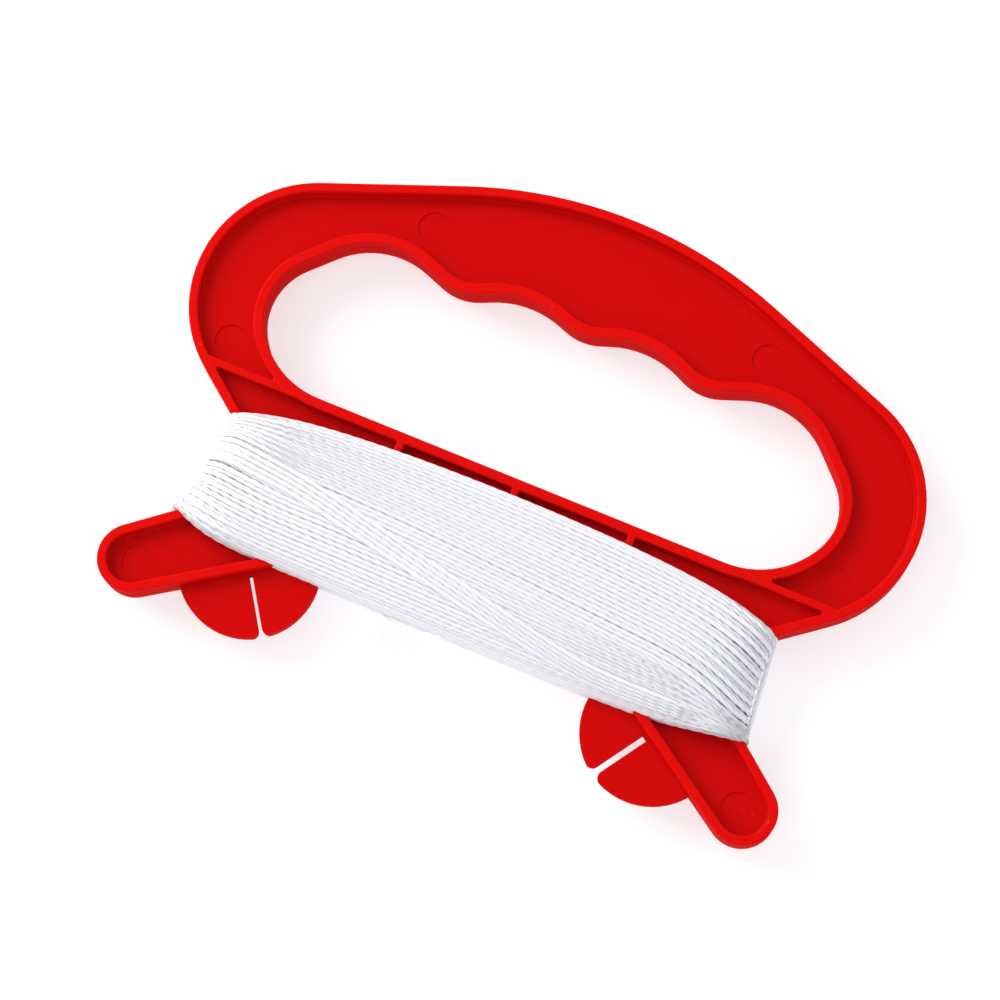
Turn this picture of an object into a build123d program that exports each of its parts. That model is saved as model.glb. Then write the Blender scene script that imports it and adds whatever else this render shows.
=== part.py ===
from build123d import *

import os
from dataclasses import dataclass
from math import asin, atan2, cos, degrees, hypot, pi, radians, sin

# A flat hand winder lying on its side, with line wound round its bar.
# X runs along the bar, Y from the horns up to the grip, Z out of the flat side.
# The origin is under the middle of the whole object, where it rests. Millimetres.

# ---- moulded frame ----
FRAME_DEPTH = 7.0  # height of the rims, face to face
WEB = 2.0  # thin plate half way up the rims
OUTER_RIM = 1.7
GRIP_RIM = 1.9
RIB = 1.4
EDGE_RADIUS = 0.3  # on the rims' edges
FLOOR_RADIUS = 0.4  # where a rim or rib stands on the web
CORNER_RADIUS = 0.35  # upright corners inside a pocket
SHARP_ANGLE = 8.0  # degrees between two walls that meet in a corner
LAYER_SIZE = 200.0  # wider than the whole frame
SAME_HEIGHT = 1e-4
PACK_DEPTH = 15.0  # thickness of the wound pack, which the object rests on
MID_Z = PACK_DEPTH / 2

CROWN = (0.0, -36.07, 84.94)  # centre x, centre y and radius of the grip's long back
SHOULDER = (46.65, 12.45, 22.98)
HORN_TIP = (58.48, -42.71, 6.16)
HORN_UPPER_ANGLE = -38.5  # degrees, from the bar's end out to the tip
HORN_LOWER_ANGLE = -33.5
BAR_TOP = -3.3
BAR_BOTTOM = -27.5
WAIST_X = 48.5  # half the bar's length between the notches
NOTCH_TOP_RADIUS = 4.0
NOTCH_TOP_ANGLE = 37.5  # degrees, of the straight flank from the shoulder down to the notch
NOTCH_FOOT_RADIUS = 3.0
CROTCH_RADIUS = 4.0  # where the horn leaves the bar's lower edge

# ---- hand opening: three finger bumps between four grooves ----
OPENING_CORNER = (39.25, 13.1, 16.4)
OPENING_END_RADIUS = 11.8
OPENING_END_ANGLE = -30.0  # degrees, where the corner's arc tightens into the end's
OUTER_GROOVE = (36.63, 12.55, 15.27)
OUTER_BUMP = (23.95, 34.5, 9.72)
INNER_GROOVE = (11.0, 10.5, 17.5)
MIDDLE_BUMP = (0.0, 35.6, 9.85)
JOINT_GAP = 1.0005  # leaves a hair of straight run where one arc rolls into the next

CROSS_RIBS_X = (-22.3, 0.0, 22.3)
LONG_RIB_Y = -4.15
LONG_RIB_HALF = 60.8

# ---- slotted clip lobes under the horns ----
LOBE = (38.75, -36.0, 12.8)
LOBE_CORNER = 1.3
SLOT_START = 1.6  # from the lobe's centre
SLOT_OVERRUN = 2.0  # past the lobe's rim
SLOT_WIDTHS = {-1: 0.7, 1: 1.2}  # the left one has closed up a little

# ---- ejector-pin marks, sunk in the web's upper face ----
PIN_MARKS = ((32.7, 34.4), (58.5, 1.0), (57.5, -42.6))
PIN_RADIUS = 3.0
PIN_SINK = 0.2

# ---- wound line ----
PACK_TOP_MIDDLE = -5.5
PACK_TOP_END = (52.6, -11.8)
PACK_END_MIDDLE = (51.9, -19.5)
PACK_FOOT_END = (54.6, -31.6)
PACK_BOTTOM_MIDDLE = -34.6
PACK_LENGTH = 2 * PACK_FOOT_END[0]
PACK_EDGE_RADIUS = 5.0  # the pack's long rounded edges
PACK_FACE_HALF = 30.0  # the faces fall away towards the ends from here
PACK_END_DEPTH = 13.6
PACK_CLEAR = 0.02  # between the line and the moulding

# ---- loose end of the line ----
TAIL_DIAMETER = 1.6
TAIL_ROUTE = (
    (-18.5, -33.2, 4.4),
    (-15.0, -35.4, 3.3),
    (-11.8, -37.8, 1.9),
    (-8.9, -39.6, 0.9),
)
TAIL_RADIUS_SHARE = 0.45


@dataclass(frozen=True)
class Round:
    """A round stretch of an outline; turn is 1 where it bulges out and -1 where it curves in."""

    x: float
    y: float
    r: float
    turn: int = 1

    def inset(self, distance):
        """The same stretch after the whole outline moves in by distance."""
        return Round(self.x, self.y, self.r - self.turn * distance, self.turn)

    def mirrored(self):
        return Round(-self.x, self.y, self.r, self.turn)

    def rolled_into(self, radius, angle):
        """The next stretch, of another radius, that carries on from this one at an angle."""
        reach = (self.r - radius) * JOINT_GAP
        return Round(self.x + reach * cos(angle), self.y + reach * sin(angle), radius, self.turn)


def tangent(first, second):
    """The points where the straight run between two round stretches leaves and arrives."""
    dx, dy = second.x - first.x, second.y - first.y
    swing = (second.turn * second.r - first.turn * first.r) / hypot(dx, dy)
    angle = atan2(dy, dx) - asin(swing)
    nx, ny = -sin(angle), cos(angle)
    leave = (first.x - first.turn * first.r * nx, first.y - first.turn * first.r * ny)
    arrive = (second.x - second.turn * second.r * nx, second.y - second.turn * second.r * ny)
    return leave, arrive


def bend(stretch, start, end):
    """The arc of one round stretch, from start to end in its own turning direction."""
    first = atan2(start[1] - stretch.y, start[0] - stretch.x)
    last = atan2(end[1] - stretch.y, end[0] - stretch.x)
    sweep = (stretch.turn * (last - first)) % (2 * pi)
    middle = first + stretch.turn * sweep / 2
    through = (stretch.x + stretch.r * cos(middle), stretch.y + stretch.r * sin(middle))
    return ThreePointArc(start, through, end)


def outline(rounds, inset=0.0):
    """The face inside a closed belt round the stretches, counter-clockwise."""
    belt = [r.inset(inset) for r in rounds]
    runs = [tangent(a, b) for a, b in zip(belt, belt[1:] + belt[:1])]
    edges = []
    for index, stretch in enumerate(belt):
        edges.append(bend(stretch, runs[index - 1][1], runs[index][0]))
        edges.append(Line(*runs[index]))
    return make_face(Wire(edges))


def both_sides(right):
    """A belt for a symmetric outline from its right half, which starts at the bottom."""
    left = [r.mirrored() for r in reversed(right) if r.x > 0]
    return right + left


def lower_edge_y(x):
    """Height of the horn's straight lower edge at x."""
    slope = radians(HORN_LOWER_ANGLE)
    tip_x, tip_y, radius = HORN_TIP
    return tip_y - radius / cos(slope) + (x - tip_x) * sin(slope) / cos(slope)


def frame_rounds():
    """The right half of the frame's outer outline, from the bar's lower edge up."""
    lower, upper = radians(HORN_LOWER_ANGLE), radians(HORN_UPPER_ANGLE)
    crotch_y = BAR_BOTTOM - CROTCH_RADIUS
    rise = crotch_y + CROTCH_RADIUS / cos(lower) - lower_edge_y(0.0)
    crotch_x = rise * cos(lower) / sin(lower)
    foot_x = WAIST_X + NOTCH_FOOT_RADIUS
    foot_y = HORN_TIP[1] + (foot_x - HORN_TIP[0]) * sin(upper) / cos(upper)
    foot_y += (HORN_TIP[2] + NOTCH_FOOT_RADIUS) / cos(upper)
    flank = radians(NOTCH_TOP_ANGLE)
    top_x = WAIST_X + NOTCH_TOP_RADIUS
    top_y = SHOULDER[1] + (top_x - SHOULDER[0]) * sin(flank) / cos(flank)
    top_y -= (SHOULDER[2] + NOTCH_TOP_RADIUS) / cos(flank)
    return [
        Round(crotch_x, crotch_y, CROTCH_RADIUS, -1),
        Round(*HORN_TIP),
        Round(foot_x, foot_y, NOTCH_FOOT_RADIUS, -1),
        Round(top_x, top_y, NOTCH_TOP_RADIUS, -1),
        Round(*SHOULDER),
        Round(*CROWN),
    ]


def opening_rounds():
    """The right half of the hand opening, from the bar up over the finger grooves."""
    corner = Round(*OPENING_CORNER)
    return [
        corner,
        corner.rolled_into(OPENING_END_RADIUS, radians(OPENING_END_ANGLE)),
        Round(*OUTER_GROOVE),
        Round(*OUTER_BUMP, -1),
        Round(*INNER_GROOVE),
        Round(*MIDDLE_BUMP, -1),
    ]


def slab(face, depth):
    """A face made solid, half above and half below the frame's middle plane."""
    return extrude(Pos(0, 0, MID_Z - depth / 2) * face, depth)


def lobe(side):
    """A slotted half disc that grips the end of the line, side -1 or 1."""
    x, y, radius = LOBE
    disc = Pos(side * x, y) * Circle(radius)
    across = radians(side * HORN_LOWER_ANGLE) - pi / 2
    slot_length = radius + SLOT_OVERRUN
    middle = SLOT_START + slot_length / 2
    centre = Pos(side * x + middle * cos(across), y + middle * sin(across))
    slot = centre * Rot(0, 0, degrees(across)) * Rectangle(slot_length, SLOT_WIDTHS[side])
    plate = slab(disc - slot, WEB)
    mouth = (side * x + radius * cos(across), y + radius * sin(across), MID_Z)
    corners = plate.edges().filter_by(Axis.Z).sort_by_distance(mouth)[:2]
    return fillet(corners, LOBE_CORNER)


def ribs():
    """The long rib over the bar and its short cross ribs, as tall as the rims."""
    long_rib = Box(2 * LONG_RIB_HALF, RIB, FRAME_DEPTH)
    cross_rib = Box(RIB, BAR_TOP - BAR_BOTTOM - RIB, FRAME_DEPTH)
    cross_y = (BAR_TOP + BAR_BOTTOM) / 2
    crossing = [Pos(x, cross_y, MID_Z) * cross_rib for x in CROSS_RIBS_X]
    return [Pos(0, LONG_RIB_Y, MID_Z) * long_rib] + crossing


def upright_corners(room):
    """The upright edges of a room where two of its walls meet at an angle."""
    corners = []
    for edge in room.edges().filter_by(Axis.Z):
        walls = [f for f in room.faces() if any(edge.is_same(e) for e in f.edges())]
        normals = [wall.normal_at(edge.center()) for wall in walls]
        if normals[0].get_angle(normals[1]) > SHARP_ANGLE:
            corners.append(edge)
    return corners


def edges_at(shape, height):
    """The edges of a shape that lie flat at a height."""
    boxed = [(e, e.bounding_box()) for e in shape.edges()]
    return [e for e, b in boxed if max(abs(b.min.Z - height), abs(b.max.Z - height)) < SAME_HEIGHT]


def pockets():
    """The hollows on both sides of the web, with rounded corners and rounded floors."""
    rooms = slab(outline(both_sides(frame_rounds()), OUTER_RIM), FRAME_DEPTH)
    rooms -= slab(outline(both_sides(opening_rounds()), -GRIP_RIM), FRAME_DEPTH)
    rooms -= ribs()
    depth = (FRAME_DEPTH - WEB) / 2
    hollows = []
    for room in rooms.solids():
        rounded = room.fillet(CORNER_RADIUS, upright_corners(room))
        for side in (-1, 1):
            layer = Pos(0, 0, MID_Z + side * (WEB + depth) / 2) * Box(LAYER_SIZE, LAYER_SIZE, depth)
            hollow = (rounded & layer).solids()[0]
            floor = edges_at(hollow, MID_Z + side * WEB / 2)
            hollows.append(hollow.fillet(FLOOR_RADIUS, floor))
    return hollows


def softened(body):
    """The body with the edges of its two open faces rounded."""
    for side in (-1, 1):
        edges = edges_at(body, MID_Z + side * FRAME_DEPTH / 2)
        body = body.fillet(EDGE_RADIUS, edges)
    return body


def pin_marks():
    """Round marks sunk in the web's upper face."""
    face_z = MID_Z + WEB / 2
    centres = [(side * x, y) for side in (-1, 1) for x, y in PIN_MARKS]
    return [Pos(x, y, face_z - PIN_SINK / 2) * Cylinder(PIN_RADIUS, PIN_SINK) for x, y in centres]


def winder_frame():
    """The whole moulding: web, rims, ribs and clip lobes in one solid."""
    body = slab(outline(both_sides(frame_rounds())), FRAME_DEPTH)
    body -= slab(outline(both_sides(opening_rounds())), FRAME_DEPTH)
    body -= pockets()
    body = softened(body.solids()[0])
    body += [lobe(-1), lobe(1)]
    return body - pin_marks()


def pack_plan():
    """The wound pack seen square on: crowned top, hollow ends and a fuller lower edge."""
    (tx, ty), (ex, ey), (fx, fy) = PACK_TOP_END, PACK_END_MIDDLE, PACK_FOOT_END
    edges = [
        ThreePointArc((-tx, ty), (0, PACK_TOP_MIDDLE), (tx, ty)),
        ThreePointArc((tx, ty), (ex, ey), (fx, fy)),
        ThreePointArc((fx, fy), (0, PACK_BOTTOM_MIDDLE), (-fx, fy)),
        ThreePointArc((-fx, fy), (-ex, ey), (-tx, ty)),
    ]
    return make_face(Wire(edges))


def pack_profile():
    """The pack seen along the bar's face: flat in the middle, falling away to round ends."""
    half, end = PACK_DEPTH / 2, PACK_END_DEPTH / 2
    turn_x = PACK_LENGTH / 2 - end
    tip = PACK_LENGTH / 2
    edges = [
        Line((-PACK_FACE_HALF, half), (PACK_FACE_HALF, half)),
        Line((PACK_FACE_HALF, half), (turn_x, end)),
        ThreePointArc((turn_x, end), (tip, 0), (turn_x, -end)),
        Line((turn_x, -end), (PACK_FACE_HALF, -half)),
        Line((PACK_FACE_HALF, -half), (-PACK_FACE_HALF, -half)),
        Line((-PACK_FACE_HALF, -half), (-turn_x, -end)),
        ThreePointArc((-turn_x, -end), (-tip, 0), (-turn_x, end)),
        Line((-turn_x, end), (-PACK_FACE_HALF, half)),
    ]
    side = Plane((0, 0, MID_Z), x_dir=(1, 0, 0), z_dir=(0, -1, 0))
    return side * make_face(Wire(edges))


def pack_section():
    """The pack cut across the bar: a block with large round edges."""
    width = PACK_TOP_MIDDLE - PACK_BOTTOM_MIDDLE
    middle_y = (PACK_TOP_MIDDLE + PACK_BOTTOM_MIDDLE) / 2
    across = Plane((0, middle_y, MID_Z), x_dir=(0, 1, 0), z_dir=(1, 0, 0))
    return across * RectangleRounded(width, PACK_DEPTH, PACK_EDGE_RADIUS)


def wound_line():
    """The closed outer shape of all the turns, with the bar's room taken out."""
    pack = extrude(Pos(0, 0, MID_Z - PACK_DEPTH / 2) * pack_plan(), PACK_DEPTH)
    pack &= extrude(pack_profile(), PACK_LENGTH / 2, both=True)
    pack &= extrude(pack_section(), PACK_LENGTH / 2, both=True)
    moulding = outline(both_sides(frame_rounds()), -PACK_CLEAR)
    pack -= slab(moulding, FRAME_DEPTH + 2 * PACK_CLEAR)
    x, y, radius = LOBE
    lobes = [Pos(side * x, y) * Circle(radius + PACK_CLEAR) for side in (-1, 1)]
    return pack - [slab(disc, WEB + 2 * PACK_CLEAR) for disc in lobes]


def line_tail():
    """The loose end: a thin tube that leaves the pack's lower side and comes down to rest."""
    points = [Vector(*p) for p in TAIL_ROUTE]
    runs = [b - a for a, b in zip(points, points[1:])]
    radii = []
    for before, after in zip(runs, runs[1:]):
        half_turn = radians(before.get_angle(after)) / 2
        shorter = min(before.length, after.length)
        radii.append(TAIL_RADIUS_SHARE * shorter * cos(half_turn) / sin(half_turn))
    path = FilletPolyline(*points, radius=radii)
    section = Plane(path @ 0, z_dir=path % 0) * Circle(TAIL_DIAMETER / 2)
    tube = sweep(section, path)
    expected = pi * (TAIL_DIAMETER / 2) ** 2 * path.length
    print("tail radii", [round(r, 1) for r in radii], "volume ratio", round(tube.volume / expected, 3))
    return tube


def main():
    os.makedirs("parts", exist_ok=True)
    pack = wound_line()
    sub_parts = {
        "winder_frame": winder_frame(),
        "wound_line": pack,
        "line_tail": line_tail() - pack,
    }
    for name, shape in sub_parts.items():
        export_step(shape, f"parts/{name}.step")
        box = shape.bounding_box()
        print(name, len(shape.solids()), "solids", round(shape.volume, 1), "mm3", box.min, box.max)


main()
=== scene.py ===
import logging
from dataclasses import asdict, dataclass, field
from enum import Enum
from math import cos, pi, radians, sin, sqrt, tan

import bpy
import numpy as np
from mathutils import Euler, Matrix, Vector


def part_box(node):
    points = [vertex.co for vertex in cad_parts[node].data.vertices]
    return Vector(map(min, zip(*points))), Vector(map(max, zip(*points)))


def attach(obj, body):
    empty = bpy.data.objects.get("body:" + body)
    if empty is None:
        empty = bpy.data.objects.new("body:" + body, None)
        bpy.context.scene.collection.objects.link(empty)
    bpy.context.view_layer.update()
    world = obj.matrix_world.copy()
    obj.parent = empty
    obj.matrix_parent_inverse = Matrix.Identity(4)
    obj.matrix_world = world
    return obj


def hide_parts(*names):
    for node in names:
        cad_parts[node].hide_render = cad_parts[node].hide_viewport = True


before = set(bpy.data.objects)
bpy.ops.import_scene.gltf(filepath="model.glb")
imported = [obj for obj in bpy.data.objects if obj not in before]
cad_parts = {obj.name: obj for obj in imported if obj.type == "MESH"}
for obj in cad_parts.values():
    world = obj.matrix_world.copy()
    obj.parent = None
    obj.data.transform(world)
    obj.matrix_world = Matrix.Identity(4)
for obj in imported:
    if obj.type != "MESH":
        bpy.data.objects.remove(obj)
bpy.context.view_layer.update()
log = logging.getLogger("winder")

MM = 0.001
SEED = 7


class Slot(Enum):
    """The record's two material slots."""

    PLASTIC = "red_plastic"
    LINE = "white_line"


class Side(Enum):
    """The two ends of the bar."""

    LEFT = -1.0
    RIGHT = 1.0


# ---------------------------------------------------------------- node trees


class Value:
    """A number on a wire. An expression on it adds Math nodes to its tree."""

    def __init__(self, net: "Net", socket: bpy.types.NodeSocket) -> None:
        """Wrap one output socket.

        Args:
            net: the tree that the socket belongs to.
            socket: the output socket.
        """
        self.net = net
        self.socket = socket

    def math(self, operation: str, *others: "Value | float") -> "Value":
        """This number and others through one Math node.

        Args:
            operation: the Math node's operation.
            others: its second and third inputs.

        Returns:
            The node's result.
        """
        inputs = dict(enumerate((self, *others)))
        return self.net.out("ShaderNodeMath", {"operation": operation}, inputs)

    def __add__(self, other: "Value | float") -> "Value":
        """Sum."""
        return self.math("ADD", other)

    __radd__ = __add__

    def __sub__(self, other: "Value | float") -> "Value":
        """Difference."""
        return self.math("SUBTRACT", other)

    def __rsub__(self, other: float) -> "Value":
        """Difference from a plain number."""
        return (self * -1.0) + other

    def __mul__(self, other: "Value | float") -> "Value":
        """Product."""
        return self.math("MULTIPLY", other)

    __rmul__ = __mul__

    def __pow__(self, other: "Value | float") -> "Value":
        """Power."""
        return self.math("POWER", other)

    def clamped(self) -> "Value":
        """The number held between 0 and 1."""
        return self.math("MAXIMUM", 0.0).math("MINIMUM", 1.0)


class Net:
    """A node tree with one way to add a node."""

    def __init__(self, tree: bpy.types.NodeTree) -> None:
        """Wrap a tree.

        Args:
            tree: a material's or a geometry group's node tree.
        """
        self.tree = tree

    def node(
        self,
        kind: str,
        settings: dict[str, object] | None = None,
        inputs: dict[str | int, object] | None = None,
    ) -> bpy.types.Node:
        """Add a node.

        Args:
            kind: the node's type.
            settings: its properties, set before its sockets.
            inputs: values, wires or Values for its sockets, by name or number.

        Returns:
            The new node.
        """
        made = self.tree.nodes.new(kind)
        for name, value in (settings or {}).items():
            setattr(made, name, value)
        for name, value in (inputs or {}).items():
            self.feed(made.inputs[name], value)
        return made

    def out(
        self,
        kind: str,
        settings: dict[str, object] | None = None,
        inputs: dict[str | int, object] | None = None,
        result: str | int = 0,
    ) -> Value:
        """Add a node and take one of its results, as node() does, by name or number."""
        return Value(self, self.node(kind, settings, inputs).outputs[result])

    def feed(self, socket: bpy.types.NodeSocket, value: object) -> None:
        """Link a wire to a socket, or set the socket's own value.

        Args:
            socket: the input socket.
            value: a Value or an output socket to link, or a plain value to set.
        """
        if isinstance(value, Value):
            value = value.socket
        if isinstance(value, bpy.types.NodeSocket):
            self.tree.links.new(value, socket)
        else:
            socket.default_value = value


class Shader(Net):
    """A new material's tree, with its Principled shader at hand."""

    def __init__(self, name: str) -> None:
        """Make the material.

        Args:
            name: the material's name.
        """
        self.material = bpy.data.materials.new(name)
        self.material.use_nodes = True
        super().__init__(self.material.node_tree)
        self.shader = self.tree.nodes["Principled BSDF"]

    def place(self, scale: tuple[float, float, float], turn: float = 0.0) -> Value:
        """Object coordinates, turned about Z and then scaled.

        Args:
            scale: how many pattern units go into a metre along each axis.
            turn: the turn in degrees.

        Returns:
            The coordinates.
        """
        own = self.node("ShaderNodeTexCoord").outputs["Object"]
        turned = {"Vector": own, "Rotation": (0.0, 0.0, radians(turn)), "Scale": scale}
        return self.out("ShaderNodeMapping", {"vector_type": "POINT"}, turned)

    def noise(self, at: Value, scale: float, detail: float = 3.0, rough: float = 0.5) -> Value:
        """Soft noise from 0 to 1 at a coordinate."""
        inputs = {"Vector": at, "Scale": scale, "Detail": detail, "Roughness": rough}
        return self.out("ShaderNodeTexNoise", {}, inputs)

    def part(self, vector: object, axis: str) -> Value:
        """One part of a vector: X, Y or Z."""
        return self.out("ShaderNodeSeparateXYZ", {}, {"Vector": vector}, result=axis)

    def band(self, value: Value, low: float, high: float) -> Value:
        """0 below low, 1 above high and smooth between."""
        settings = {"interpolation_type": "SMOOTHSTEP"}
        return self.out("ShaderNodeMapRange", settings, {"Value": value, 1: low, 2: high})

    def blend(self, share: Value, first: object, second: object) -> Value:
        """A mix of two colours.

        Args:
            share: 0 for the first and 1 for the second.
            first: a colour or a wire.
            second: a colour or a wire.

        Returns:
            The mixed colour.
        """
        settings = {"data_type": "RGBA"}
        return self.out("ShaderNodeMix", settings, {0: share, 6: first, 7: second}, result=2)

    def bump(self, height: Value, strength: float, depth: float) -> Value:
        """A normal from a height pattern, with its depth in metres."""
        inputs = {"Height": height, "Strength": strength, "Distance": depth}
        return self.out("ShaderNodeBump", {}, inputs)

    def dress(self, **sockets: object) -> bpy.types.Material:
        """Feed the shader's sockets by name, with _ for a space.

        Args:
            sockets: a value or a wire for each named socket.

        Returns:
            The finished material.
        """
        for name, value in sockets.items():
            self.feed(self.shader.inputs[name.replace("_", " ")], value)
        return self.material


# ------------------------------------------------------------------ finishes

Colour = tuple[float, float, float, float]
Axes = tuple[float, float, float]
Band = tuple[float, float]


@dataclass(frozen=True)
class GlossRed:
    """Glossy red injection-moulded plastic with faint flow, dust and handling marks, with painted highlight
    on its raised rims and painted shade on the recessed plate between them.
    """

    rim: Colour = (0.65, 0.0022, 0.0012, 1.0)  # painted highlight on the raised rims; the thin recessed plate below gets painted shade
    web: Colour = (0.54, 0.0008, 0.0006, 1.0)
    dust: Colour = (0.85, 0.16, 0.14, 1.0)
    roughness: float = 0.36
    wall_roughness: float = 0.85
    wall_band: Band = (0.35, 0.8)  # the normal's height, from an upright wall to a flat face
    web_half: float = 1.2 * MM
    rim_half: float = 3.2 * MM
    thick_share: float = 0.85  # of the colour that follows the height (painted highlight on the rims, painted shade on the recessed plate), the rest is cloudy
    cloud_scale: float = 45.0
    cloud_share: float = 0.6  # of the cloudiness, the rest is flow
    cloudy_band: Band = (0.3, 0.7)
    handled_band: Band = (0.5, 0.68)  # the clouds that dust and scratches gather in
    flow_scale: float = 135.0
    flow_stretch: Axes = (1.0, 7.0, 1.0)
    flow_turn: float = -18.0  # degrees
    flow_roughness: float = 0.08
    flow_relief: float = 0.5
    speck_scale: float = 1400.0
    speck_band: Band = (0.74, 0.78)
    lint_stretch: Axes = (0.22, 1.0, 1.0)
    lint_turn: float = 52.0
    lint_band: Band = (0.76, 0.8)
    dust_share: float = 0.3  # how far dust changes the colour and the roughness
    scratch_scale: float = 3600.0
    scratch_stretch: Axes = (0.05, 1.0, 1.0)
    scratch_turn: float = 24.0
    scratch_band: Band = (0.66, 0.74)
    scratch_share: float = 0.03
    scratch_roughness: float = 0.12
    scratch_relief: float = 0.25
    relief: float = 0.12
    relief_depth: float = 0.2 * MM
    bleed: float = 0.1
    bleed_radius: Axes = (1.0, 0.1, 0.06)
    bleed_depth: float = 1.2 * MM
    gloss: float = 0.045

    def material(self, middle: float) -> bpy.types.Material:
        """Build the material.

        Args:
            middle: height of the moulding's middle plane, which the web lies on.

        Returns:
            The finished material.
        """
        net = Shader("gloss_red")
        plain = net.place((1.0, 1.0, 1.0))
        clouds = net.noise(plain, self.cloud_scale, detail=4.0)
        flow = net.noise(net.place(self.flow_stretch, self.flow_turn), self.flow_scale, detail=5.0)
        specks = net.noise(plain, self.speck_scale, detail=2.0)
        lint = net.noise(net.place(self.lint_stretch, self.lint_turn), self.speck_scale, detail=1.0)
        where = net.band(clouds, *self.handled_band)
        dust = (net.band(specks, *self.speck_band) + net.band(lint, *self.lint_band)).clamped() * where
        scratched = net.place(self.scratch_stretch, self.scratch_turn)
        scratch = net.noise(scratched, self.scratch_scale, detail=2.0)
        marks = net.band(scratch, *self.scratch_band) * where
        height = net.part(plain, "Z").math("SUBTRACT", middle).math("ABSOLUTE")
        # painted light: the raised rims take the lighter red as painted highlight, the recessed plate the
        # darker red as painted shade
        lit_rim_mask = net.band(height, self.web_half, self.rim_half)
        mottle = clouds * self.cloud_share + flow * (1.0 - self.cloud_share)
        cloudy = net.band(mottle, *self.cloudy_band)
        share = lit_rim_mask * self.thick_share + cloudy * (1.0 - self.thick_share)
        body = net.blend(share, self.web, self.rim)
        colour = net.blend(dust * self.dust_share + marks * self.scratch_share, body, self.dust)
        facing = net.node("ShaderNodeTexCoord").outputs["Normal"]
        wall = 1.0 - net.band(net.part(facing, "Z").math("ABSOLUTE"), *self.wall_band)
        rough = dust * self.dust_share + marks * self.scratch_roughness
        rough = rough + flow * self.flow_roughness + (self.roughness - self.flow_roughness / 2)
        rough = rough + wall * (self.wall_roughness - self.roughness)
        bumps = flow * self.flow_relief + marks * self.scratch_relief + clouds
        return net.dress(
            Base_Color=colour,
            Roughness=rough,
            Normal=net.bump(bumps, self.relief, self.relief_depth),
            Subsurface_Weight=self.bleed,
            Subsurface_Radius=self.bleed_radius,
            Subsurface_Scale=self.bleed_depth,
            Specular_IOR_Level=self.gloss,
        )


@dataclass(frozen=True)
class SatinLine:
    """Bright white polyester yarn, with the filaments of each ply as fine ridges."""

    name: str = "satin_line"
    colour: Colour = (0.93, 0.93, 1.0, 1.0)
    shade: Colour = (0.85, 0.845, 0.94, 1.0)
    roughness: float = 0.42
    fibre_roughness: float = 0.2
    filaments: float = 7.0
    fibre_rough: float = 0.65  # how broken the filaments' pattern is
    fibre_share: float = 0.6  # of the tone that single filaments make, the rest is long
    run: float = 220.0
    tone_run: float = 44.0  # of the long changes in tone
    tone_band: Band = (0.32, 0.6)
    relief: float = 0.45
    depth: float = 0.04 * MM
    bleed: float = 0.6  # how much light spreads inside the yarn
    bleed_radius: Axes = (1.0, 0.97, 1.1)
    bleed_depth: float = 1.2 * MM
    glow: float = 0.0  # painted light: a glow that keeps shaded loose filaments bright

    def material(self) -> bpy.types.Material:
        """Build the material, whose pattern follows the line's own attributes.

        Returns:
            The finished material.
        """
        net = Shader(self.name)
        around = net.node("ShaderNodeAttribute", {"attribute_name": "around"}).outputs["Vector"]
        along = net.out("ShaderNodeAttribute", {"attribute_name": "along"}, result="Fac")
        down = net.out("ShaderNodeCombineXYZ", {}, {"Z": along * self.run})
        settings = {"operation": "MULTIPLY_ADD"}
        ring = (self.filaments, self.filaments, 1.0)
        at = net.out("ShaderNodeVectorMath", settings, {0: around, 1: ring, 2: down})
        fibres = net.noise(at, 1.0, rough=self.fibre_rough)
        length = net.out("ShaderNodeCombineXYZ", {}, {"Z": along * self.tone_run})
        tone = net.noise(length, 1.0, detail=2.0)
        mottle = fibres * self.fibre_share + tone * (1.0 - self.fibre_share)
        grey = net.band(mottle, *self.tone_band)
        return net.dress(
            Base_Color=net.blend(grey, self.shade, self.colour),
            Roughness=fibres * self.fibre_roughness + (self.roughness - self.fibre_roughness / 2),
            Normal=net.bump(fibres, self.relief, self.depth),
            Subsurface_Weight=self.bleed,
            Subsurface_Radius=self.bleed_radius,
            Subsurface_Scale=self.bleed_depth,
            Emission_Color=self.colour,
            Emission_Strength=self.glow,
        )


@dataclass(frozen=True)
class PaleFloor:
    """A plain matt table of white acrylic, lit a little from below."""

    colour: Colour = (0.5, 0.5, 0.505, 1.0)
    glow: float = 1.15
    roughness: float = 0.9
    grain_scale: float = 60.0
    grain_tone: float = 0.985

    def material(self) -> bpy.types.Material:
        """Build the material.

        Returns:
            The finished material.
        """
        net = Shader("pale_floor")
        grain = net.noise(net.place((1.0, 1.0, 1.0)), self.grain_scale)
        dark = tuple(self.grain_tone * c for c in self.colour[:3]) + (1.0,)
        return net.dress(
            Base_Color=net.blend(grain, dark, self.colour),
            Roughness=self.roughness,
            Emission_Color=self.colour,
            Emission_Strength=self.glow,
        )


# ---------------------------------------------------------------- wound line


@dataclass(frozen=True)
class Flank:
    """A rounded corner of the notch and the straight slope that runs out from it."""

    start: float  # height where the notch's upright floor ends, in metres
    radius: float
    slope: float  # degrees from the bar's length
    away: float  # 1 for up and -1 for down

    def reach(self, y: float) -> float:
        """How far the slope stands out from the notch's floor.

        Args:
            y: the height in the notch.

        Returns:
            The distance, which is 0 beside the upright floor.
        """
        past = (y - self.start) * self.away
        leave = self.radius * cos(radians(self.slope))
        if past <= 0.0:
            return 0.0
        if past <= leave:
            return self.radius - sqrt(self.radius**2 - past**2)
        corner = self.radius * (1.0 - sin(radians(self.slope)))
        return corner + (past - leave) / tan(radians(self.slope))


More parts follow.
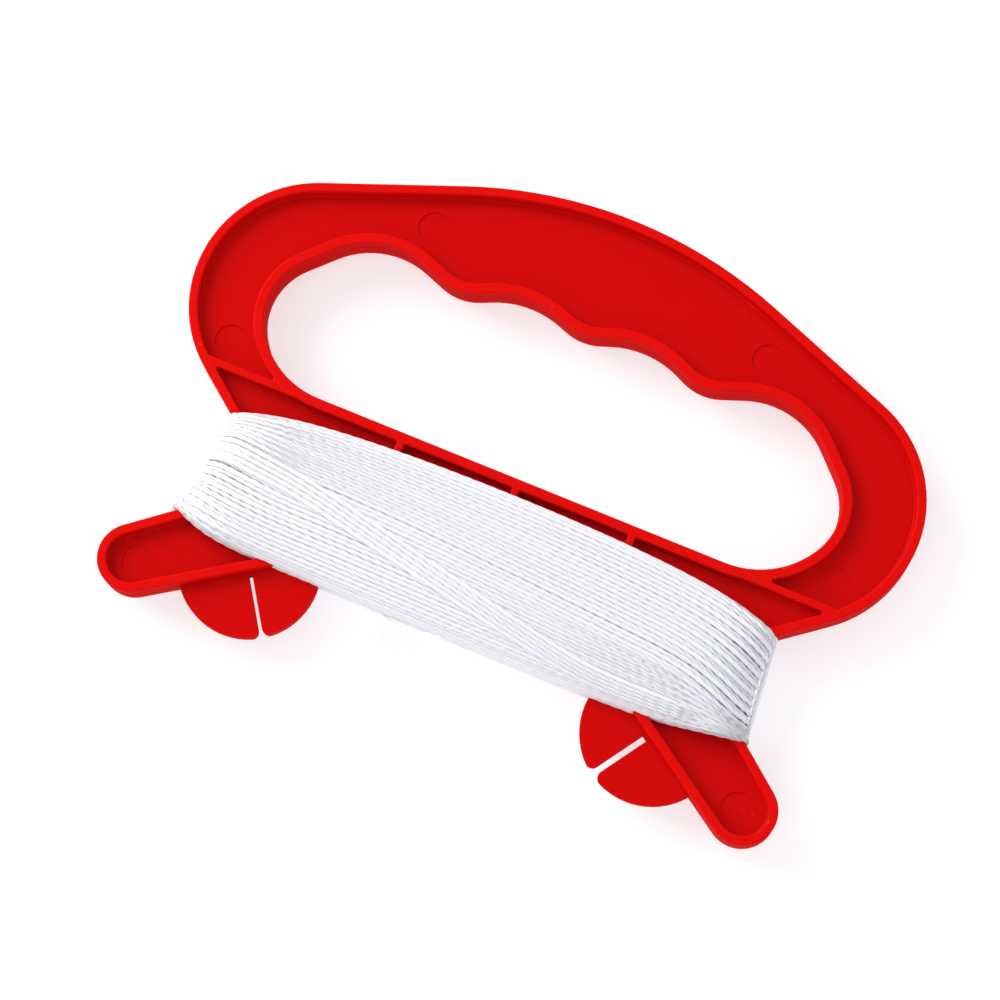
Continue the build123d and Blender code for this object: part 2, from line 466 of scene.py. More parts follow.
@dataclass(frozen=True)
class Notch:
    """The end of the bar, where every turn goes round. Metres, measured from the bar's middle."""

    waist: float = 48.5 * MM
    shoulder: Flank = Flank(-17.07 * MM, 4.0 * MM, 37.5, 1.0)
    horn: Flank = Flank(-25.46 * MM, 3.0 * MM, 38.5, -1.0)

    def reach(self, y: float) -> float:
        """How far out the moulding comes at a height in the notch."""
        return self.waist + max(self.shoulder.reach(y), self.horn.reach(y))


@dataclass
class Pack:
    """The room that the turns fill, as layers that wrap the bar. Metres."""

    low: Vector
    high: Vector
    diameter: float = 0.95 * MM
    layers: int = 4
    bar_half: float = 3.5 * MM  # half the moulding's thickness
    front_room: float = 6.8 * MM  # centre of the bar to the outer layer's centreline
    back_room: float = 6.45 * MM
    crown: float = -6.5 * MM  # height of the upper edge over the middle of the bar
    crown_powers: tuple[float, float] = (2.2, 8.0)  # a long crown that drops off at its ends
    crown_share: float = 0.6  # of the drop that the long crown makes
    top_end: tuple[float, float] = (52.8 * MM, -11.9 * MM)
    foot_end: tuple[float, float] = (55.2 * MM, -31.6 * MM)
    flare_power: float = 3.5  # the end is nearly upright and flares out at the horn
    left_fullness: float = 0.9 * MM  # how much further the left end stands out
    foot_power: tuple[float, float] = (14.0, 4.5)  # how late the lower edge lifts, left and right
    step_in: float = 0.8 * MM  # from one layer's edge to the next one's
    drift: float = 0.1  # how far turns slide down the pack from the left end to the right
    gather: float = 0.14  # how much more they bunch in the notches
    bunch_row: float = 0.56  # where they move most on the right, as a share of the way down
    sweep: float = 0.07  # how much further they swing down as they roll over the right end
    drift_run: float = 40.0 * MM  # the slide is full from here outwards
    gather_run: Band = (37.0 * MM, 52.0 * MM)
    sweep_run: Band = (45.0 * MM, 53.0 * MM)
    ledge: float = 0.62  # share of the height at which a turn clears the horn's face
    ledge_run: Band = (32.0 * MM, 44.0 * MM)
    ledge_power: float = 0.35
    end_run: Band = (36.0 * MM, 48.0 * MM)  # where turns pass from the face into the notch
    upper_power: int = 8  # squareness of the section's upper edge and of its lower edge
    lower_power: float = 3.6
    upper_steps: int = 12
    lower_steps: int = 60
    section_points: int = 200
    brim: float = 0.999  # the section starts a hair inside its full height
    notch: Notch = field(default_factory=Notch)

    @property
    def middle(self) -> float:
        """Height of the bar's middle plane."""
        return (self.low.z + self.high.z) / 2

    def room(self, layer: float, side: float) -> float:
        """Height of a layer over the bar's middle plane.

        Args:
            layer: 0 for the innermost. It may lie between two layers or outside them.
            side: 1 for the front face and -1 for the back.

        Returns:
            The height of the layer's centrelines.
        """
        inner = self.bar_half + self.diameter / 2
        outer = self.front_room if side > 0 else self.back_room
        return inner + (outer - inner) * layer / (self.layers - 1)

    def top(self, x: float, layer: float) -> float:
        """Height of a layer's upper edge, a long low crown.

        Args:
            x: the distance from the bar's middle.
            layer: the layer's number.

        Returns:
            The height.
        """
        ex, ey = self.top_end
        long_fall = (abs(x) / ex) ** self.crown_powers[0] * self.crown_share
        end_fall = (abs(x) / ex) ** self.crown_powers[1] * (1.0 - self.crown_share)
        fall = (self.crown - ey) * (long_fall + end_fall)
        inside = (self.layers - 1 - layer) * self.step_in + self.diameter / 2
        return self.crown - fall - inside

    def bottom(self, x: float, layer: float) -> float:
        """Height of a layer's lower edge: nearly straight, then up into the notches.

        Args:
            x: the distance from the bar's middle.
            layer: the layer's number.

        Returns:
            The height.
        """
        fx, fy = self.foot_end
        power = self.foot_power[1 if x > 0 else 0]
        lift = (fy - self.low.y) * min(abs(x) / fx, 1.0) ** power
        inside = (self.layers - 1 - layer) * self.step_in + self.diameter / 2
        return self.low.y + lift + inside

    def end(self, y: float, layer: float, side: Side) -> float:
        """How far out a layer reaches round the bar's end.

        Args:
            y: the height in the notch.
            layer: the layer's number.
            side: which end of the bar.

        Returns:
            The distance from the bar's middle.
        """
        share = (self.top_end[1] - y) / (self.top_end[1] - self.foot_end[1])
        share = min(max(share, 0.0), 1.0)
        flare = (self.foot_end[0] - self.top_end[0]) * share**self.flare_power
        fuller = self.left_fullness if side is Side.LEFT else 0.0
        outer = self.top_end[0] + flare + fuller - self.diameter / 2
        inner = self.notch.reach(y) + self.diameter / 2
        return inner + max(outer - inner, 0.0) * layer / (self.layers - 1)

    def section(self, layer: float) -> np.ndarray:
        """The line that the turns of one layer sit on across the pack.

        Args:
            layer: the layer's number.

        Returns:
            Rows of share of the way down and share of the full height, evenly spaced by distance.
        """
        start = self.bar_half + self.diameter / 2
        first = min(start / self.room(layer, 1.0), self.brim)
        above, below = self.upper_power, self.lower_power
        heights = np.linspace(first, self.brim, self.upper_steps)
        upper = [(0.5 - 0.5 * (1.0 - h**above) ** (1 / above), h) for h in heights]
        sides = np.linspace(0.0, 1.0, self.lower_steps)
        lower = [(0.5 + 0.5 * s, (1.0 - s**below) ** (1 / below)) for s in sides]
        line = np.array(upper + lower)
        size = np.array([self.top(0.0, layer) - self.bottom(0.0, layer), self.room(layer, 1.0)])
        steps = np.linalg.norm(np.diff(line, axis=0) * size, axis=1)
        along = np.concatenate([[0.0], np.cumsum(steps)])
        at = np.linspace(0.0, along[-1], self.section_points)
        return np.stack([np.interp(at, along, line[:, k]) for k in (0, 1)], axis=1)

    def nearness(self, x: float, start: float, stop: float) -> float:
        """0 while |x| is under start, 1 past stop, smooth between."""
        share = min(max((abs(x) - start) / (stop - start), 0.0), 1.0)
        return share * share * (3.0 - 2.0 * share)


@dataclass(frozen=True)
class Lap:
    """One turn of the line: where it lies in the pack and how it strays."""

    layer: float
    start: float  # share of the way down the pack where the lap begins
    stop: float
    cross: float = 0.0  # how far it slants over the others on the front face
    lift: float = 0.0  # how high it rides on them, in metres
    nest: float = 0.0  # in or out of the bundle in the notches, in metres
    wander: tuple[float, float, float] = (0.0, 0.0, 0.0)


@dataclass
class Winding:
    """All the laps in the order they were wound."""

    pack: Pack
    laps_in_layer: tuple[int, ...] = (20, 24, 28, 44)
    crossing_laps: int = 5
    crossing_rows: tuple[float, float] = (0.42, 0.54)  # where they start, down the pack
    crossing_slant: float = 0.31
    crossing_lift: float = 0.6 * MM
    crossing_run: tuple[float, float] = (-36.0 * MM, 24.0 * MM)  # where they slant on the front
    points_in_lap: int = 44
    roll_power: float = 2.1  # roundness of a lap's two ends
    inner_roll: float = 0.06  # share of the half length that each round end takes
    edge_roll: float = 0.1
    middle_roll: tuple[float, float] = (0.18, 0.3)  # at the left end and at the right
    nesting: float = 0.25 * MM
    straying: float = 0.05 * MM
    under_slide: float = -0.4  # how far the covered layers slide, against the outer one
    lift_at_end: float = 0.4  # share of a lap's lift that is left round the bar's end
    lift_lost: float = 0.3  # share of it that is lost over the faces near the end
    settle_passes: int = 2
    outline_steps: int = 4001
    flat_turn: float = 0.05  # how soon a lap's flat runs out beside its rolled end
    point_cost: Band = (14.0, 5.0)  # how closely the points lie along the bar and across it

    @property
    def top_layer(self) -> int:
        """The number of the outermost layer."""
        return len(self.laps_in_layer) - 1

    def laps(self) -> list[list[Lap]]:
        """Every lap, grouped by layer, with the crossing laps last.

        Returns:
            A list of laps for each layer.
        """
        rng = np.random.default_rng(SEED)
        groups = []
        for layer, count in enumerate(self.laps_in_layer):
            edges = np.linspace(0.0, 1.0, count + 1)
            if layer % 2:
                edges = edges[::-1]
            group = []
            for index, (start, stop) in enumerate(zip(edges, edges[1:])):
                nest = self.nesting * (1 if index % 2 else -1)
                wander = tuple(rng.normal(0.0, self.straying, 3))
                group.append(Lap(layer, start, stop, nest=nest, wander=wander))
            groups.append(group)
        starts = np.linspace(*self.crossing_rows, self.crossing_laps + 1)
        crossing = []
        for start, stop in zip(starts, starts[1:]):
            wander = tuple(rng.normal(0.0, self.straying, 3))
            slant, lift = self.crossing_slant, self.crossing_lift
            crossing.append(Lap(self.top_layer, start, stop, slant, lift, 0.0, wander))
        groups.append(crossing)
        return groups

    def lap_points(self, lap: Lap, section: np.ndarray) -> list[Vector]:
        """The control points of one lap, from the right end over the front and back.

        Args:
            lap: the lap.
            section: the line that its layer sits on.

        Returns:
            Points in the row frame.
        """
        pack = self.pack
        follow = 1.0 if lap.layer >= self.top_layer else self.under_slide
        rows = np.arange(len(section))
        points = []
        for fx, fz, around in self.outline(lap):
            side = Side.RIGHT if fx >= 0 else Side.LEFT
            down = lap.start + (lap.stop - lap.start) * around
            down += lap.cross * self.crossed(fx, fz)
            down = min(max(down, 0.0), 1.0)
            row = down * (len(section) - 1)
            share, height = (float(np.interp(row, rows, column)) for column in section.T)
            x = fx * pack.top_end[0]
            share += self.slide(x, share) * follow
            ends = pack.nearness(x, *pack.end_run)
            if height < 1.0:
                over = pack.ledge + (1.0 - pack.ledge) * sin(pi * down) ** pack.ledge_power
                height += (max(over, height) - height) * pack.nearness(x, *pack.ledge_run)
            for _ in range(self.settle_passes):
                y = pack.top(x, lap.layer)
                y += (pack.bottom(x, lap.layer) - y) * share
                reach = pack.end(y, lap.layer, side) + lap.nest + lap.lift * self.lift_at_end
                x = fx * reach
            waves = (sin(2 * pi * around + 1.0), sin(4 * pi * around), sin(6 * pi * around + 2.0))
            y += sum(a * w for a, w in zip(lap.wander, waves))
            room = pack.room(lap.layer, 1.0 if fz >= 0 else -1.0)
            room += lap.nest * ends + lap.lift * (1.0 - self.lift_lost * ends)
            points.append(Vector((x, y, pack.middle + fz * room * height)))
        return points

    def slide(self, x: float, share: float) -> float:
        """How far a turn lies below its even place at x.

        Args:
            x: the distance from the bar's middle.
            share: the even place, as a share of the way down the pack.

        Returns:
            The shift, as a share of the way down.
        """
        pack = self.pack
        shift = pack.drift * min(max(x / pack.drift_run, -1.0), 1.0)
        shift += pack.gather * pack.nearness(x, *pack.gather_run) * np.sign(x)
        if x > 0:
            shift += pack.sweep * pack.nearness(x, *pack.sweep_run)
        peak = pack.bunch_row if x > 0 else 1.0 - pack.bunch_row
        return shift * min(share / peak, (1.0 - share) / (1.0 - peak))

    def crossed(self, fx: float, fz: float) -> float:
        """How much of its slant a crossing lap has made.

        Args:
            fx: share of the reach, from -1 at the left end to 1 at the right.
            fz: share of the room, over 0 on the front and under 0 on the back.

        Returns:
            A share from 0 at the left to 1 at the right.
        """
        if fz < 0:
            return (1.0 + fx) / 2
        start, stop = (x / self.pack.top_end[0] for x in self.crossing_run)
        return min(max((fx - start) / (stop - start), 0.0), 1.0)

    def outline(self, lap: Lap) -> np.ndarray:
        """A lap seen along the pack's width: two flat faces joined by rolled ends.

        Args:
            lap: the lap. The middle of the outer layer rolls over more slowly than its edges.

        Returns:
            Rows of share of the reach, share of the room and share of the lap, spaced so that the
            ends get more points than the flats.
        """
        depth = lap.layer / self.top_layer
        centred = sin(pi * min(max((lap.start + lap.stop) / 2, 0.0), 1.0))
        outer = self.edge_roll + (np.array(self.middle_roll) - self.edge_roll) * centred**2
        left, right = self.inner_roll + (outer - self.inner_roll) * depth
        fine = np.linspace(0.0, 2 * pi, self.outline_steps)
        c, s = np.cos(fine), np.sin(fine)
        roll = np.where(c > 0, right, left)
        flat = (1.0 - roll) * np.clip(c / self.flat_turn, -1.0, 1.0)
        x = roll * np.sign(c) * np.abs(c) ** (2 / self.roll_power) + flat
        z = np.sign(s) * np.abs(s) ** (2 / self.roll_power)
        cost_x, cost_z = self.point_cost
        steps = np.hypot(np.diff(x) * cost_x, np.diff(z) * cost_z)
        cost = np.concatenate([[0.0], np.cumsum(steps)])
        at = np.linspace(0.0, cost[-1], self.points_in_lap, endpoint=False)
        columns = (x, z, fine / (2 * pi))
        return np.stack([np.interp(at, cost, column) for column in columns], axis=1)

    def run_out(self, lap: Lap, stop_x: float) -> list[Vector]:
        """The points of a last lap that leaves the pack on the back's run to the right.

        Args:
            lap: the lap.
            stop_x: where it leaves, as a distance from the bar's middle.

        Returns:
            The points up to there.
        """
        points = self.lap_points(lap, self.pack.section(lap.layer))
        turned = min(range(len(points)), key=lambda i: points[i].x)
        return points[:turned] + [p for p in points[turned:] if p.x < stop_x]

    def route(self, laps: list[Lap]) -> list[Vector]:
        """The control points of several laps in a row."""
        sections = {lap.layer: self.pack.section(lap.layer) for lap in laps}
        return [p for lap in laps for p in self.lap_points(lap, sections[lap.layer])]


def geometry_group(name: str, inputs: dict[str, str]) -> bpy.types.NodeTree:
    """An empty geometry group that takes a geometry and gives one back.

    Args:
        name: the group's name.
        inputs: the kind of each further input, by name.

    Returns:
        The new tree.
    """
    tree = bpy.data.node_groups.new(name, "GeometryNodeTree")
    for label, kind in {"Geometry": "Geometry", **inputs}.items():
        tree.interface.new_socket(name=label, in_out="INPUT", socket_type=f"NodeSocket{kind}")
    tree.interface.new_socket(name="Geometry", in_out="OUTPUT", socket_type="NodeSocketGeometry")
    return tree


def give_out(net: Net, mesh: Value, finish: bpy.types.NodeSocket) -> None:
    """End a geometry group: smooth its mesh, make it real, dress it and hand it over.

    Args:
        net: the tree.
        mesh: the mesh so far.
        finish: the material's wire.
    """
    mesh = net.out("GeometryNodeSetShadeSmooth", {}, {"Geometry": mesh})
    mesh = net.out("GeometryNodeRealizeInstances", {}, {"Geometry": mesh})
    mesh = net.out("GeometryNodeSetMaterial", {}, {"Geometry": mesh, "Material": finish})
    net.node("NodeGroupOutput", {}, {"Geometry": mesh})


@dataclass
class TwistedTube:
    """Geometry nodes that lay a three-ply line along a route."""

    diameter: float
    lay: float = 6.9 * MM  # length of one full turn of the plies
    plies: int = 3
    groove: float = 0.6  # radius at the bottom of the grooves, as a share
    roundness: float = 0.6

    def tree(self) -> bpy.types.NodeTree:
        """Build the node tree.

        Returns:
            A tree with inputs for the diameter, lay, step, sides and material.
        """
        inputs = {"Radius": "Float", "Lay": "Float", "Step": "Float", "Sides": "Int"}
        tree = geometry_group("twisted_tube", inputs | {"Finish": "Material"})
        net = Net(tree)
        given = net.node("NodeGroupInput").outputs
        run = net.out(
            "GeometryNodeResampleCurve",
            {"mode": "LENGTH"},
            {"Curve": given["Geometry"], "Length": given["Step"]},
        )
        length = net.out("GeometryNodeSplineParameter", result="Length")
        run = self.stored(net, run, "along", "FLOAT", length)
        lay = Value(net, given["Lay"])
        tilt = length.math("DIVIDE", lay) * (2 * pi)
        run = net.out("GeometryNodeSetCurveTilt", {}, {"Curve": run, "Tilt": tilt})
        ring = self.profile(net, Value(net, given["Radius"]), given["Sides"])
        tube = net.out(
            "GeometryNodeCurveToMesh",
            {},
            {"Curve": run, "Profile Curve": ring, "Fill Caps": True},
        )
        give_out(net, tube, given["Finish"])
        return tree

    def profile(self, net: Net, radius: Value, sides: bpy.types.NodeSocket) -> Value:
        """A ring with one lobe for each ply.

        Args:
            net: the tree.
            radius: the line's radius.
            sides: how many points the ring has.

        Returns:
            The profile curve.
        """
        circle = net.out("GeometryNodeCurvePrimitiveCircle", {}, {"Resolution": sides, "Radius": 1.0})
        place = net.out("GeometryNodeInputPosition")
        circle = self.stored(net, circle, "around", "FLOAT_VECTOR", place)
        turn = net.out("GeometryNodeSplineParameter", result="Factor") * (pi * self.plies)
        lobe = turn.math("COSINE").math("ABSOLUTE") ** self.roundness
        reach = (lobe * (1.0 - self.groove) + self.groove) * radius
        moved = net.out(
            "ShaderNodeVectorMath", {"operation": "SCALE"}, {"Vector": place, "Scale": reach}
        )
        return net.out("GeometryNodeSetPosition", {}, {"Geometry": circle, "Position": moved})

    @staticmethod
    def stored(net: Net, geometry: Value, name: str, kind: str, value: Value) -> Value:
        """Store a named attribute on points.

        Args:
            net: the tree.
            geometry: what to store it on.
            name: the attribute's name.
            kind: its data type.
            value: the value at each point.

        Returns:
            The geometry with the attribute.
        """
        settings = {"data_type": kind, "domain": "POINT"}
        inputs = {"Geometry": geometry, "Name": name, "Value": value}
        return net.out("GeometryNodeStoreNamedAttribute", settings, inputs)


@dataclass
class Frayed:
    """Geometry nodes that split a line's end into loose filaments along a route."""

    steps: int = 18  # points along each filament
    sides: int = 6
    bow_turns: float = 12.0  # how unlike each other the filaments' waves are
    lift_share: float = 0.4  # of the waves that goes up and down

    def tree(self) -> bpy.types.NodeTree:
        """Build the node tree.

        Returns:
            A tree with inputs for the count, radius, spread, waviness, seed and material.
        """
        sizes = ("Radius", "Root", "Width", "Depth", "Stray", "Slant")
        inputs = {"Count": "Int", **dict.fromkeys(sizes, "Float"), "Seed": "Int", "Finish": "Material"}
        tree = geometry_group("frayed_end", inputs)
        net = Net(tree)
        given = net.node("NodeGroupInput").outputs
        run = net.out(
            "GeometryNodeResampleCurve", {"mode": "COUNT"}, {"Curve": given["Geometry"], "Count": self.steps}
        )
        tangent = net.out("GeometryNodeInputTangent")
        run = TwistedTube.stored(net, run, "heading", "FLOAT_VECTOR", tangent)
        copies = net.node(
            "GeometryNodeDuplicateElements",
            {"domain": "SPLINE"},
            {"Geometry": run, "Amount": given["Count"]},
        )
        which = copies.outputs["Duplicate Index"]
        copied = TwistedTube.stored(net, Value(net, copies.outputs["Geometry"]), "which", "FLOAT", which)
        which = net.out("GeometryNodeInputNamedAttribute", {"data_type": "FLOAT"}, {"Name": "which"})
        heading = net.out(
            "GeometryNodeInputNamedAttribute", {"data_type": "FLOAT_VECTOR"}, {"Name": "heading"}
        )
        seed = Value(net, given["Seed"])
        share = net.out("GeometryNodeSplineParameter", result="Factor")
        across = self.dice(net, which, seed) - 0.5
        up = self.dice(net, which, seed + 1.0) - 0.5
        bow = self.dice(net, which, seed + 2.0) - 0.5
        spread = Value(net, given["Root"]) + share * Value(net, given["Width"])
        wave = (share * (2 * pi) + bow * self.bow_turns).math("SINE") * bow * Value(net, given["Stray"])
        sideways = net.out(
            "ShaderNodeVectorMath",
            {"operation": "CROSS_PRODUCT"},
            {0: heading, 1: (0.0, 0.0, 1.0)},
        )
        step_across = net.out(
            "ShaderNodeVectorMath",
            {"operation": "SCALE"},
            {"Vector": sideways, "Scale": across * spread + wave * share},
        )
        thickness = Value(net, given["Root"]) + share * Value(net, given["Depth"])
        height = up * thickness + wave * share * self.lift_share
        step_up = net.out("ShaderNodeCombineXYZ", {}, {"Z": height})
        trim = across * spread * share * Value(net, given["Slant"]) * -1.0
        step_on = net.out(
            "ShaderNodeVectorMath", {"operation": "SCALE"}, {"Vector": heading, "Scale": trim}
        )
        step = net.out(
            "ShaderNodeVectorMath", {"operation": "ADD"}, {0: step_across, 1: step_up}
        )
        step = net.out("ShaderNodeVectorMath", {"operation": "ADD"}, {0: step, 1: step_on})
        loose = net.out("GeometryNodeSetPosition", {}, {"Geometry": copied, "Offset": step})
        length = net.out("GeometryNodeSplineParameter", result="Length")
        loose = TwistedTube.stored(net, loose, "along", "FLOAT", length)
        ring = net.out(
            "GeometryNodeCurvePrimitiveCircle", {}, {"Resolution": self.sides, "Radius": given["Radius"]}
        )
        place = net.out("GeometryNodeInputPosition")
        ring = TwistedTube.stored(net, ring, "around", "FLOAT_VECTOR", place)
        hair = net.out(
            "GeometryNodeCurveToMesh", {}, {"Curve": loose, "Profile Curve": ring, "Fill Caps": True}
        )
        give_out(net, hair, given["Finish"])
        return tree

    @staticmethod
    def dice(net: Net, which: Value, seed: Value) -> Value:
        """A number from 0 to 1 that is fixed for each filament."""
        inputs = {"ID": which, "Seed": seed}
        return net.out("FunctionNodeRandomValue", {"data_type": "FLOAT"}, inputs, result=1)


def spline_object(name: str, points: list[Vector]) -> bpy.types.Object:
    """A smooth open curve through control points.

    Args:
        name: the object's name.
        points: the control points, in the row frame.

    Returns:
        The new curve object.
    """
    data = bpy.data.curves.new(name, "CURVE")
    data.dimensions = "3D"
    data.resolution_u = 6
    spline = data.splines.new("NURBS")
    spline.points.add(len(points) - 1)
    for control, point in zip(spline.points, points):
        control.co = (*point, 1.0)
    spline.order_u = 3
    spline.use_endpoint_u = True
    made = bpy.data.objects.new(name, data)
    bpy.context.scene.collection.objects.link(made)
    return made


def route_line(curve: bpy.types.Object) -> list[Axes]:
    """The points that a curve runs through.

    Args:
        curve: a curve object with no bevel.

    Returns:
        The points in the row frame.
    """
    mesh = bpy.data.meshes.new_from_object(curve)
    line = [tuple(v.co) for v in mesh.vertices]
    bpy.data.meshes.remove(mesh)
    return line


def line_length(line: list[Axes]) -> float:
    """The length along a line of points."""
    return float(np.linalg.norm(np.diff(np.array(line), axis=0), axis=1).sum())


def grown(
    name: str,
    curve: bpy.types.Object,
    tree: bpy.types.NodeTree,
    values: dict[str, object],
) -> bpy.types.Object:
    """A plain mesh piece from a geometry tree on a curve.

    Args:
        name: the new piece's name.
        curve: the route. It is removed afterwards.
        tree: the geometry tree.
        values: the tree's inputs by name.

    Returns:
        The mesh object, at the origin.
    """
    modifier = curve.modifiers.new("grow", "NODES")
    modifier.node_group = tree
    sockets = {s.name: s.identifier for s in tree.interface.items_tree if s.in_out == "INPUT"}
    for label, value in values.items():
        modifier[sockets[label]] = value
    depsgraph = bpy.context.evaluated_depsgraph_get()
    mesh = bpy.data.meshes.new_from_object(curve.evaluated_get(depsgraph), depsgraph=depsgraph)
    mesh.name = name
    curve.modifiers.remove(modifier)
    route = curve.data
    bpy.data.objects.remove(curve)
    bpy.data.curves.remove(route)
    piece = bpy.data.objects.new(name, mesh)
    bpy.context.scene.collection.objects.link(piece)
    return piece


@dataclass(frozen=True)
class Hairs:
    """How the loose filaments of one frayed piece lie. Metres."""

    count: int
    root: float  # width of the bundle where it starts
    width: float  # how much wider it gets
    depth: float  # how much deeper it gets
    stray: float
    slant: float  # how obliquely the filaments are cut
    seed: int
    radius: float = 0.075 * MM

    def values(self, finish: bpy.types.Material) -> dict[str, object]:
        """The geometry tree's inputs, which are named as the fields are.

        Args:
            finish: the filaments' material.

        Returns:
            The inputs by name.
        """
        return {name.title(): value for name, value in asdict(self).items()} | {"Finish": finish}


@dataclass
class WoundLine:
    """The line on the bar: inner turns, outer turns and the frayed loose end."""

    body: str = "root"
    diameter: float = 0.95 * MM
    inner_sides: int = 9
    outer_sides: int = 18
    inner_step: float = 1.8 * MM
    outer_step: float = 0.56 * MM
    outer_parts: int = 4
    last_lap: Lap = Lap(3.0, 0.96, 0.985)  # it comes out low in the outer layer
    last_lap_lead: float = 4.0 * MM  # how far before the tail's exit that lap ends
    outer_finish: SatinLine = SatinLine()
    inner_finish: SatinLine = SatinLine("shaded_line", (0.92, 0.91, 0.98, 1.0))
    # painted light: the loose filaments get a brighter white than the line and a faint glow, so they stay
    # bright in the pack's shade
    hair_finish: SatinLine = SatinLine(
        "loose_filaments",
        (0.98, 0.975, 1.0, 1.0),
        (0.94, 0.93, 1.0, 1.0),
        bleed=0.0,
        glow=0.16,
    )
    tail_route: tuple[Axes, ...] = (
        (-18.5 * MM, -33.2 * MM, 4.4 * MM),
        (-15.0 * MM, -35.4 * MM, 3.3 * MM),
        (-11.8 * MM, -37.8 * MM, 1.9 * MM),
        (-8.9 * MM, -39.6 * MM, 0.9 * MM),
    )
    sheaf_route: tuple[Axes, ...] = (
        (-17.0 * MM, -34.6 * MM, 6.4 * MM),
        (-13.2 * MM, -35.7 * MM, 6.8 * MM),
        (-9.4 * MM, -36.2 * MM, 7.2 * MM),
        (-5.4 * MM, -35.5 * MM, 7.8 * MM),
        (-1.6 * MM, -33.8 * MM, 8.2 * MM),
    )
    brush: Hairs = Hairs(190, 1.5 * MM, 4.3 * MM, -0.7 * MM, 0.5 * MM, 0.5, SEED)
    sheaf: Hairs = Hairs(70, 2.5 * MM, -1.9 * MM, -1.9 * MM, 0.9 * MM, 0.0, SEED + 10)

    def build(self) -> list[bpy.types.Object]:
        """Make every stretch of the line and attach it to its body.

        Returns:
            The new pieces.
        """
        low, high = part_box("wound_line")
        pack = Pack(Vector(low), Vector(high))
        winding = Winding(pack)
        groups = winding.laps()
        tube = TwistedTube(self.diameter)
        tree = tube.tree()
        outer_finish = self.outer_finish.material()
        inner_finish = self.inner_finish.material()
        pieces = []
        inner_laps = [lap for group in groups[:-2] for lap in group]
        stretches = [("line_inner_turns", inner_laps, self.inner_sides, self.inner_step, inner_finish)]
        outer = groups[-2]
        share = -(-len(outer) // self.outer_parts)
        for index in range(self.outer_parts):
            laps = outer[index * share : (index + 1) * share]
            name = f"line_outer_turns_{index + 1}"
            stretches.append((name, laps, self.outer_sides, self.outer_step, outer_finish))
        crossing = groups[-1]
        stretches.append(
            ("line_crossing_turns", crossing, self.outer_sides, self.outer_step, outer_finish)
        )
        hairs = self.loose_end(self.hair_finish.material())
        last = None
        for name, laps, sides, step, finish in stretches:
            points = winding.route(laps)
            if laps is crossing:
                leave_x = self.tail_route[0][0] - self.last_lap_lead
                points += winding.run_out(self.last_lap, leave_x)
                points += [Vector(p) for p in self.tail_route[:2]]
            if last is not None:
                points.insert(0, last)
            last = points[-1]
            curve = spline_object(f"{name}_route", points)
            line = route_line(curve)
            values = {
                "Radius": self.diameter / 2,
                "Lay": tube.lay,
                "Step": step,
                "Sides": sides,
                "Finish": finish,
            }
            piece = grown(name, curve, tree, values)
            self.declare(piece)
            log.info("%s: %d laps, %.2f m", name, len(laps), line_length(line))
            pieces.append(piece)
        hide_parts("wound_line")
        return pieces + hairs

    def declare(
        self,
        piece: bpy.types.Object,
    ) -> None:
        """Attach a stretch of line to its body.

        Args:
            piece: the stretch's tube.
        """
        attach(piece, self.body)

    def loose_end(self, finish: bpy.types.Material) -> list[bpy.types.Object]:
        """The frayed filaments where the line ends.

        Args:
            finish: the filaments' material.

        Returns:
            The brush of cut filaments and the sheaf that runs back into the pack.
        """
        tree = Frayed().tree()
        made = []
        for name, route, lie in (
            ("line_frayed_brush", self.tail_route, self.brush),
            ("line_frayed_sheaf", self.sheaf_route, self.sheaf),
        ):
            curve = spline_object(f"{name}_route", [Vector(p) for p in route])
            piece = grown(name, curve, tree, lie.values(finish))
            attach(piece, self.body)
            made.append(piece)
        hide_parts("line_tail")
        return made


# --------------------------------------------------------------- whole scene


@dataclass
class Moulding:
    """The red moulded winder, whose shape comes from the frame."""

    node: str = "winder_frame"

    def dress(self) -> bpy.types.Object:
        """Give the moulding its finish.

        Returns:
            The dressed object.
        """
        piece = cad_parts[self.node]
        low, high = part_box(self.node)
        finish = GlossRed().material((low[2] + high[2]) / 2)
        piece.data.materials.clear()
        piece.data.materials.append(finish)
        return piece


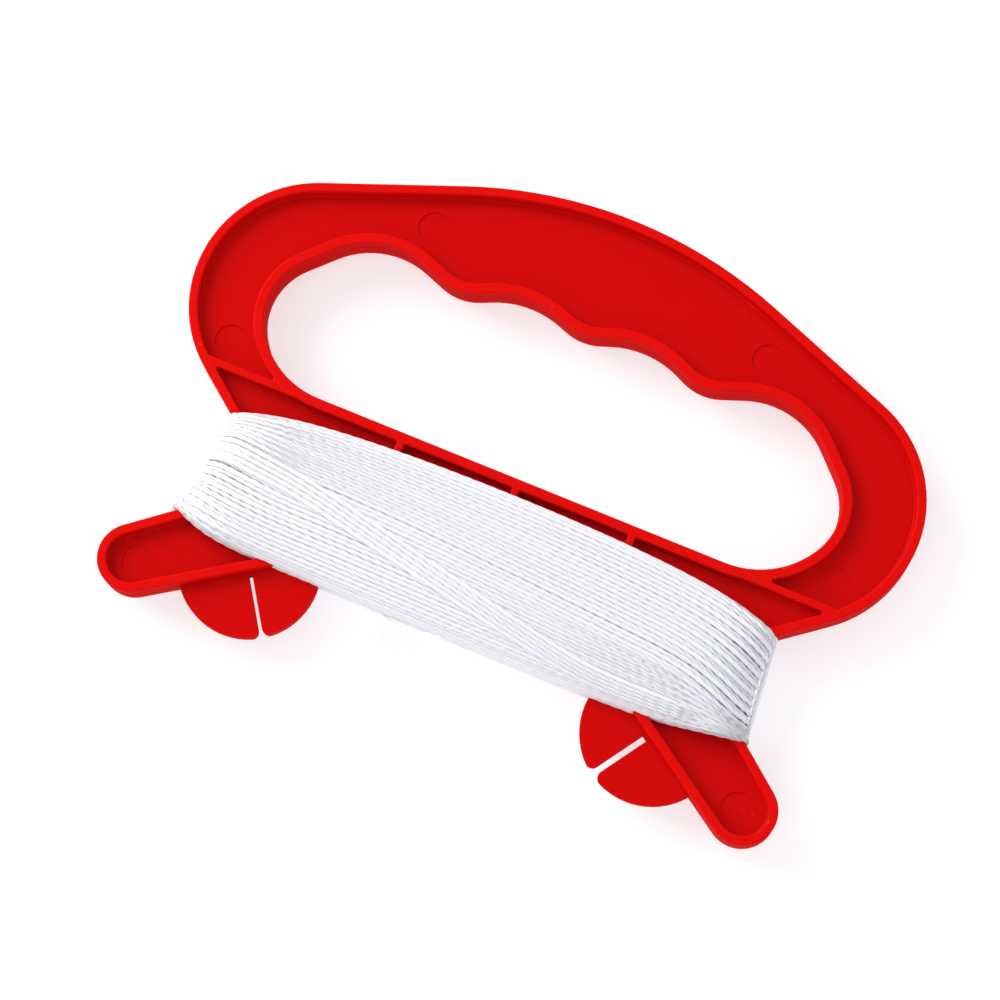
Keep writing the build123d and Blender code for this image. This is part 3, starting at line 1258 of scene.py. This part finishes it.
@dataclass
class Softbox:
    """A square area light aimed at the object."""

    name: str
    place: Axes
    size: float
    power: float
    tint: Axes = (1.0, 1.0, 1.0)

    def build(self) -> bpy.types.Object:
        """Make the light.

        Returns:
            The light's object.
        """
        data = bpy.data.lights.new(self.name, "AREA")
        data.shape = "SQUARE"
        data.size = self.size
        data.energy = self.power
        data.color = self.tint
        made = bpy.data.objects.new(self.name, data)
        made.location = self.place
        made.rotation_euler = Vector(self.place).to_track_quat("Z", "Y").to_euler()
        bpy.context.scene.collection.objects.link(made)
        return made


@dataclass
class Studio:
    """Floor, lights and camera."""

    floor_size: float = 4.0
    camera_place: Axes = (0.05347, -0.10206, 0.53307)
    camera_turn: Axes = (11.688, 1.608, 22.761)  # degrees
    lens: float = 108.0
    sensor: float = 36.0
    world_strength: float = 0.82
    world_tint: Axes = (0.965, 0.965, 1.0)
    lights: tuple[Softbox, ...] = (
        Softbox("key_box", (-0.72, 0.2, 0.5), 0.6, 6.4),
        Softbox("near_box", (-0.1, -0.75, 0.5), 0.6, 1.0),
    )

    def build(self) -> None:
        """Make everything round the object."""
        self.floor()
        self.camera()
        for light in self.lights:
            light.build()
        world = bpy.data.worlds.new("soft_room")
        world.use_nodes = True
        air = world.node_tree.nodes["Background"]
        air.inputs["Color"].default_value = (*self.world_tint, 1.0)
        air.inputs["Strength"].default_value = self.world_strength
        bpy.context.scene.world = world
        bpy.context.scene.view_settings.view_transform = "Standard"

    def floor(self) -> None:
        """A plain floor at the height that the object rests on."""
        half = self.floor_size / 2
        corners = [(-half, -half, 0.0), (half, -half, 0.0), (half, half, 0.0), (-half, half, 0.0)]
        mesh = bpy.data.meshes.new("floor")
        mesh.from_pydata(corners, [], [(0, 1, 2, 3)])
        mesh.materials.append(PaleFloor().material())
        made = bpy.data.objects.new("floor", mesh)
        bpy.context.scene.collection.objects.link(made)

    def camera(self) -> None:
        """The camera, nearly straight above the object."""
        data = bpy.data.cameras.new("camera")
        data.lens = self.lens
        data.sensor_width = self.sensor
        made = bpy.data.objects.new("camera", data)
        made.location = self.camera_place
        made.rotation_euler = Euler([radians(a) for a in self.camera_turn])
        bpy.context.scene.collection.objects.link(made)
        bpy.context.scene.camera = made


def main() -> None:
    """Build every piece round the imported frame."""
    logging.basicConfig(level=logging.INFO, format="%(message)s")
    Studio().build()
    for piece in WoundLine().build():
        log.info("%s: %d faces", piece.name, len(piece.data.polygons))
    log.info("%s dressed", Moulding().dress().name)


if __name__ == "__main__":
    main()
